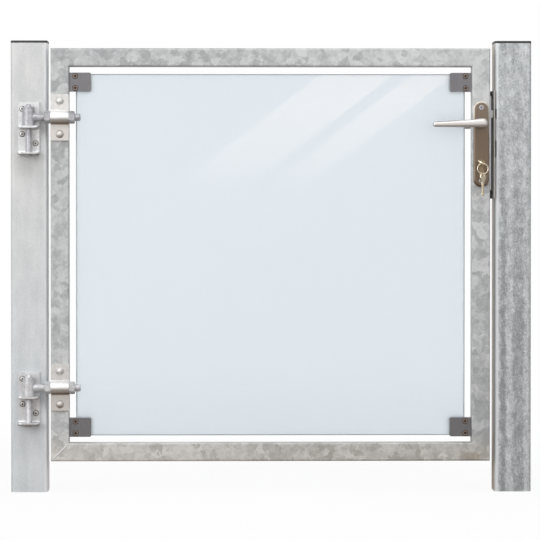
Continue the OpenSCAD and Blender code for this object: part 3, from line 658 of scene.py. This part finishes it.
lighter_to, darker_from = 0.3, 0.7
forged_zinc, at = new_finish("forged_zinc")
haze = cloud(at, 160.0, 4.0)
grain = cloud(at, 500.0, 2.0)
pale = band(0.6 * haze + 0.4 * grain, 0.3, 0.7)
darker_forging = blend(pale, srgb(150, 151, 156), srgb(192, 192, 196))
lighter_forging = blend(pale, srgb(178, 179, 182), srgb(216, 216, 218))
surface(
    at,
    Base_Color=blend(band(along_axis(at, "Z"), lighter_to, darker_from), lighter_forging, darker_forging),
    Metallic=0.4,
    Roughness=0.4 + 0.14 * haze,
    Normal=relief(0.6 * haze + 0.4 * grain, 0.25 * mm, 0.4),
)
dress(forged_zinc, "upper_eye_bolt", "lower_eye_bolt", "hinge_nuts", "upper_hinge_pin", "lower_hinge_pin")

rod_d = 16 * mm
nut_t = 13 * mm
thread_pitch = 2 * mm
thread_depth = 0.6 * mm
thread_crest = rod_d / 2 + 0.3 * mm
thread_start = 21 * mm
threads = []
for level in levels:
    low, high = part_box(level + "_eye_bolt")
    strap_low, strap_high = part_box(level + "_hinge_strap")
    rod_y = (low[1] + high[1]) / 2
    rod_z = (strap_low[2] + strap_high[2]) / 2
    stretches = ((thread_start, stile_low[0] - nut_t), (stile_high[0] + nut_t, high[0] - rod_d / 8))
    for start, end in stretches:
        threads.append(thread(start, end, rod_y, rod_z, thread_crest, thread_pitch, thread_depth))
skin("rod_threads", threads, forged_zinc, "leaf", 60.0)

# Straps and their bolts
# Pressed steel straps with a half-round bulge over the rod, bright zinc plated. A highlight on top of the
# bulge, shade below it and a brownish line of shade at its foot are painted. Two dome-headed bolts
# through the stile hold each one.
bright_zinc, at = new_finish("bright_zinc")
haze = cloud(at, 120.0, 3.0)
grain = cloud(at, 700.0, 2.0)
upward = along_axis(at, "Z")
rods = [(low[2] + high[2]) / 2 for low, high in (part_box(level + "_hinge_strap") for level in levels)]
# Painted shade below the bulge, a painted highlight on its top and a brownish painted shade line at its foot.
under = [between(upward, z - 100 * mm, z - 90 * mm, z - 22 * mm, z - 6 * mm) for z in rods]
crown = [between(upward, z - 11 * mm, z + 4 * mm, z + 12 * mm, z + 14 * mm) for z in rods]
plated = blend(band(0.7 * haze + 0.3 * grain, 0.35, 0.65), srgb(200, 199, 198), srgb(214, 213, 211))
bulge_foot_shade = [between(upward, z - 17 * mm, z - 13 * mm, z - 11.5 * mm, z - 9 * mm) for z in rods]
shaded = blend(under[0] + under[1], plated, srgb(203, 200, 196))
painted_highlight_tone = blend(crown[0] + crown[1], shaded, srgb(234, 235, 235))
surface(
    at,
    Base_Color=blend(0.8 * (bulge_foot_shade[0] + bulge_foot_shade[1]), painted_highlight_tone, srgb(150, 132, 112)),
    Metallic=0.8,
    Roughness=0.52 + 0.08 * haze,
    Normal=relief(0.5 * haze + 0.5 * grain, 0.15 * mm, 0.25),
)
dress(bright_zinc, "upper_hinge_strap", "lower_hinge_strap", "strap_bolts")
soften(0.7 * mm, "upper_hinge_strap", "lower_hinge_strap")

# Glass
# One pane of toughened glass, satin within so that what is behind it blurs. Its faces are smooth and mirror
# the light, and its edges are ground. The four clamps hold it.
satin_glass, at = new_finish("satin_glass")
surface(
    at,
    Base_Color=srgb(231, 238, 243),
    Roughness=0.75,
    IOR=1.5,
    Transmission_Weight=1.0,
    Coat_Weight=1.0,
    Coat_Roughness=0.0,
)
ground_edge, at = new_finish("ground_edge")
frosting = cloud(at, 800.0, 2.0)
surface(
    at,
    Base_Color=blend(frosting, srgb(176, 184, 192), srgb(192, 199, 206)),
    Roughness=0.6 + 0.1 * frosting,
)
dress(satin_glass, "glass_pane")
nodes["glass_pane"].data.materials.append(ground_edge)
soften(2.0 * mm, "glass_pane")
nodes["glass_pane"].modifiers["edge"].segments = 1
nodes["glass_pane"].modifiers["edge"].material = 1

# Clamps
# Brushed stainless clamps on the stiles' inner sides, with black rubber pads between steel and glass. Two
# sunk socket screws close each front half on its rear half.
brushed_steel, at = new_finish("brushed_steel")
brush = drawn_cloud(at, 500.0, 500.0, 40.0)
surface(
    at,
    Base_Color=blend(brush, srgb(108, 107, 110), srgb(130, 129, 132)),
    Metallic=0.55,
    Roughness=0.36 + 0.12 * brush,
    Normal=relief(brush, 0.1 * mm, 0.4),
)
pad_rubber, at = new_finish("pad_rubber")
surface(at, Base_Color=blend(cloud(at, 600.0), srgb(30, 30, 32), srgb(44, 44, 46)), Roughness=0.8)
screw_out = 13.5 * mm
screw_half_pitch = 13 * mm
recess = 5 * mm
clamp_socket = 6 * mm
clamp_screw = socket_screw(head_d=10 * mm, head_h=4.6 * mm, socket_af=clamp_socket, socket_deep=3.6 * mm)
# Black rings round the clamp screws' heads are painted shade.
clamp_shade_ring = shade_ring(outer_d=12.4 * mm, thick=2 * mm)
# Dark discs in the clamp screws' sockets are painted shade.
clamp_socket_shade = socket_shade(clamp_socket, height=4.3 * mm)
clamp_screw_places = []
for level in levels:
    for side in ("left", "right"):
        corner = level + "_" + side
        dress(brushed_steel, corner + "_clamp_front", corner + "_clamp_back")
        dress(pad_rubber, corner + "_clamp_pads")
        soften(0.8 * mm, corner + "_clamp_front", corner + "_clamp_back")
        low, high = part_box(corner + "_clamp_front")
        screw_x = low[0] + screw_out if side == "left" else high[0] - screw_out
        middle_z = (low[2] + high[2]) / 2
        for shift in (-screw_half_pitch, screw_half_pitch):
            clamp_screw_places.append((screw_x, low[1] + recess, middle_z + shift))
clamp_screws = set_out(clamp_screw, clamp_screw_places, facing_front)
clamp_shade_rings = set_out(clamp_shade_ring, clamp_screw_places, facing_front)
clamp_shade_rings += set_out(clamp_socket_shade, clamp_screw_places, facing_front)
screw_bronze, at = new_finish("screw_bronze")
haze = cloud(at, 500.0)
surface(
    at,
    Base_Color=blend(haze, srgb(136, 116, 104), srgb(164, 146, 134)),
    Metallic=0.6,
    Roughness=0.4 + 0.12 * haze,
)
skin("clamp_screws", clamp_screws, screw_bronze, "leaf")
skin("clamp_shade_rings", clamp_shade_rings, painted_shade_black, "leaf")

# Lock
# Steel lock case with its forend and bolts, let into the stile, and two long brownish grey aluminium plates,
# screwed together through it. The plates are painted lighter towards the top, and their rims painted pale
# cream, most of all at the top: painted light and a painted highlight.
lock_steel, at = new_finish("lock_steel")
haze = cloud(at, 200.0)
surface(
    at,
    Base_Color=blend(haze, srgb(168, 168, 170), srgb(190, 190, 192)),
    Metallic=0.8,
    Roughness=0.35 + 0.1 * haze,
)
dress(lock_steel, "lock_case", "dead_bolt", "latch_bolt", "lever_spindle")
bronze_grey, at = new_finish("bronze_grey")
plate_low, plate_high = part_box("front_lock_plate")
rear_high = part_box("back_lock_plate")[1]
lock_x = (plate_low[0] + plate_high[0]) / 2
plate_proud = 4 * mm
plate_rim = 1.4 * mm
pale_edge_reach = 80 * mm
half_depth = (rear_high[1] - plate_low[1]) / 2 - plate_proud
brush = drawn_cloud(at, 700.0, 700.0, 25.0)
# Painted light: the plate's tone grows lighter over its top 80 mm.
rise = band(along_axis(at, "Z"), plate_high[2] - pale_edge_reach, plate_high[2])
depth = at.maths("ABSOLUTE", along_axis(at, "Y") - (rear_high[1] + plate_low[1]) / 2, 0.0)
# Painted highlight: the rims are lightened to pale cream, most of all at the top.
pale_edge = (1.0 - band(depth, half_depth - plate_rim, half_depth - 0.1 * mm)) * (0.06 + 0.94 * rise)
plate_tone = blend(brush, blend(rise, srgb(106, 92, 78), srgb(124, 115, 103)), srgb(126, 112, 98))
surface(
    at,
    Base_Color=blend(pale_edge, plate_tone, srgb(250, 243, 228)),
    Metallic=0.85,
    Roughness=0.34 + 0.1 * brush,
)
dress(bronze_grey, "front_lock_plate", "back_lock_plate")
screw_in = 13 * mm
screw_heights = (plate_high[2] - screw_in, plate_low[2] + screw_in)
plate_front = plate_low[1] + plate_proud
plate_back = rear_high[1] - plate_proud
plate_socket = 5 * mm
plate_screw = socket_screw(head_d=10.5 * mm, head_h=1.6 * mm, socket_af=plate_socket, socket_deep=1.4 * mm)
# Grey discs in the plate screws' sockets are painted shade.
plate_socket_shade = socket_shade(plate_socket, height=1.1 * mm)
plate_screws, plate_socket_shades = [], []
for face, facing in ((plate_front, facing_front), (plate_back, facing_back)):
    places = [(lock_x, face, z) for z in screw_heights]
    plate_screws += set_out(plate_screw, places, facing)
    plate_socket_shades += set_out(plate_socket_shade, places, facing)
skin("plate_screws", plate_screws, lock_steel, "leaf")
skin("plate_screw_sockets", plate_socket_shades, brushed_steel, "leaf")
case_low, case_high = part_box("lock_case")
forend_in = 7 * mm
forend_y = (case_low[1] + case_high[1]) / 2
forend_screw = socket_screw(
    head_d=8 * mm,
    head_h=0.7 * mm,
    socket_af=3 * mm,
    socket_deep=0.6 * mm,
    crown=0.3 * mm,
)
forend_heights = (case_low[2] + forend_in, case_high[2] - forend_in)
forend_screws = set_out(forend_screw, [(case_high[0], forend_y, z) for z in forend_heights], facing_right)
skin("forend_screws", forend_screws, screw_zinc, "leaf")

# Levers
# Cast aluminium grips on round necks, satin finished. The grip tapers to its tip and swells over the hub, and
# its upper edge is painted dark as a painted reflection, and its tip as painted shade.
front_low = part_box("front_lever")[0]
grip_over = 10.5 * mm
lever_reach = 108.5 * mm
spindle_drop = 10.5 * mm
spindle_z = front_low[2] + spindle_drop
hub_h, root_h, tip_h = 19.5 * mm, 18.5 * mm, 11 * mm
hub_t, tip_t = 14 * mm, 9 * mm
hub_spread = 17 * mm
grip_rise = 1 * mm
neck_r = 8 * mm
squareness = 0.8
grip_long = grip_over + lever_reach
grip_y = front_low[1] + hub_t / 2


def rounded_end(distance, length):
    """Quarter of an ellipse: 0 at the end itself, 1 from length onward."""
    return np.sqrt(np.clip(1 - np.clip(1 - distance / length, 0, 1) ** 2, 0, 1))


def squared(wave):
    """A sine or cosine whose size is raised to the power of squareness, with its sign kept."""
    return np.sign(wave) * np.abs(wave) ** squareness


def lever_grip(rings=60, sides=48):
    """Grip from hub to tip: a squared oval moves along it, on rings that crowd at both ends by a cosine. Its
    height is a straight taper and a bell curve over the hub, its depth a straight taper, and both are
    multiplied by the rounded ends."""
    station = grip_long * (1 - np.cos(np.pi * np.linspace(0.02, 0.98, rings)))[:, None] / 2
    turn = np.linspace(0.0, 2 * np.pi, sides, endpoint=False)
    share = station / grip_long
    out = station - grip_over
    full = rounded_end(station, grip_over) * rounded_end(grip_long - station, tip_h / 2)
    taper = root_h + (tip_h - root_h) * out / lever_reach
    swell = (hub_h - root_h) * np.exp(-(out / hub_spread) ** 2)
    tall = (taper + swell) / 2
    deep = (hub_t + (tip_t - hub_t) * share) / 2
    low_edge = spindle_z - spindle_drop + grip_rise * share
    return np.stack([
        lock_x - out + 0 * turn,
        grip_y - deep * full * squared(np.cos(turn)),
        low_edge + tall + tall * full * squared(np.sin(turn)),
    ], axis=-1)


neck_rows = [(neck_r, 0.0, 0.0), (neck_r, plate_front - grip_y, 0.0)]
neck = set_out(turned(neck_rows, sides=40), [(lock_x, plate_front, spindle_z)], facing_front)
dark_beyond, unshaded_within = 66 * mm, 42 * mm
satin_aluminium, at = new_finish("satin_aluminium")
haze = cloud(at, 300.0)
across = along_axis(at, "X")
fall = (root_h - tip_h - grip_rise) / lever_reach
over = along_axis(at, "Z") + fall * (lock_x - across)
ridge = spindle_z - spindle_drop + root_h
# Painted dark: a reflection along the upper edge away from the hub, and shade at the tip.
near_hub = band(across, lock_x - dark_beyond, lock_x - unshaded_within)
painted_dark_top_edge = band(over, ridge - 2.4 * mm, ridge - 0.6 * mm) * (1.0 - near_hub)
painted_dark_tip = 1.0 - band(across, front_low[0] + 0.8 * mm, front_low[0] + 2.6 * mm)
cast = blend(haze, srgb(204, 201, 199), srgb(219, 216, 214))
surface(
    at,
    Base_Color=blend(0.8 * (painted_dark_top_edge + painted_dark_tip), cast, srgb(124, 119, 116)),
    Metallic=0.75,
    Roughness=0.36 + 0.1 * haze,
)
mirror_y = stile_low[1] + stile_high[1]
flipped = np.array([1.0, -1.0, 1.0])
moved = np.array([0.0, mirror_y, 0.0])
lever_sheets = [lever_grip()] + neck
front_lever = skin("front_grip", lever_sheets, satin_aluminium, "lever", 50.0)
back_sheets = [sheet * flipped + moved for sheet in lever_sheets]
back_lever = skin("back_grip", back_sheets, satin_aluminium, "lever", 50.0)
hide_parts("front_lever")
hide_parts("back_lever")

# Cylinder and keys
# Profile cylinder of nickelled brass, let into the lock case, with a brass key in its plug. A spare key hangs
# below it on a split ring of coiled spring wire.
cylinder_nickel, at = new_finish("cylinder_nickel")
haze = cloud(at, 400.0)
surface(
    at,
    Base_Color=blend(haze, srgb(132, 116, 96), srgb(152, 136, 114)),
    Metallic=0.9,
    Roughness=0.3 + 0.12 * haze,
)
dress(cylinder_nickel, "lock_cylinder", "cylinder_plug")
brass, at = new_finish("brass")
haze = cloud(at, 400.0)
surface(
    at,
    Base_Color=blend(haze, srgb(228, 212, 180), srgb(244, 232, 206)),
    Metallic=0.95,
    Roughness=0.16 + 0.1 * haze,
)
dress(brass, "lock_key", "spare_key")
soften(0.3 * mm, "lock_key", "spare_key")


def ring_coil(low, high, end_gap=0.15, steepness=2.5, rings=150, sides=14):
    """Two turns of wire that fill the box from low to high: an oval, half as deep as it is wide, goes twice
    round the circle, and after the first turn an S curve of the angle moves it back by half the depth."""
    middle = (low + high) / 2
    wire = high[1] - low[1]
    radius = (high[0] - low[0] - wire) / 2
    coil_turn = np.linspace(end_gap, 4 * np.pi - end_gap, rings)[:, None]
    step_over = 1 / (1 + np.exp(-(coil_turn - 2 * np.pi) * steepness)) - 0.5
    wire_turn = np.linspace(0.0, 2 * np.pi, sides, endpoint=False)
    reach = radius + wire / 2 * np.cos(wire_turn)
    return np.stack([
        middle[0] + reach * np.sin(coil_turn),
        middle[1] + step_over * wire / 2 + wire / 4 * np.sin(wire_turn),
        middle[2] - reach * np.cos(coil_turn),
    ], axis=-1)


ring_low, ring_high = (np.array(corner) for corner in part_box("key_ring"))
ring_steel, at = new_finish("ring_steel")
haze = cloud(at, 400.0)
surface(
    at,
    Base_Color=blend(haze, srgb(206, 194, 172), srgb(228, 218, 198)),
    Metallic=0.95,
    Roughness=0.16 + 0.1 * haze,
)
ring = skin("split_ring", [ring_coil(ring_low, ring_high)], ring_steel, "key", 60.0)
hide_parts("key_ring")

# Keep
# Steel angle, painted black, held on the latch post's inner face by two screws. One flange is slotted for
# latch and dead bolt, the other closes the gap behind the leaf. Its front edge is coloured pale zinc grey.
black_paint, at = new_finish("black_paint")
haze = cloud(at, 400.0)
keep_low, keep_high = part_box("latch_keep")
pale_edge = 1.0 - band(along_axis(at, "Y"), keep_low[1] + 6 * mm, keep_low[1] + 9 * mm)
surface(
    at,
    Base_Color=blend(pale_edge, blend(haze, srgb(30, 30, 31), srgb(42, 42, 43)), srgb(178, 174, 168)),
    Roughness=0.45 + 0.2 * haze,
)
dress(black_paint, "latch_keep")
soften(0.5 * mm, "latch_keep")
keep_t = 2.8 * mm
keep_in = 12 * mm
keep_y = (keep_low[1] + keep_high[1]) / 2
keep_heights = (keep_low[2] + keep_in, keep_high[2] - keep_in)
keep_screw = socket_screw(head_d=10 * mm, head_h=1.2 * mm, socket_af=4 * mm, socket_deep=1 * mm)
keep_screws = set_out(keep_screw, [(keep_high[0] - keep_t, keep_y, z) for z in keep_heights], facing_left)
skin("keep_screws", keep_screws, black_paint, "posts")
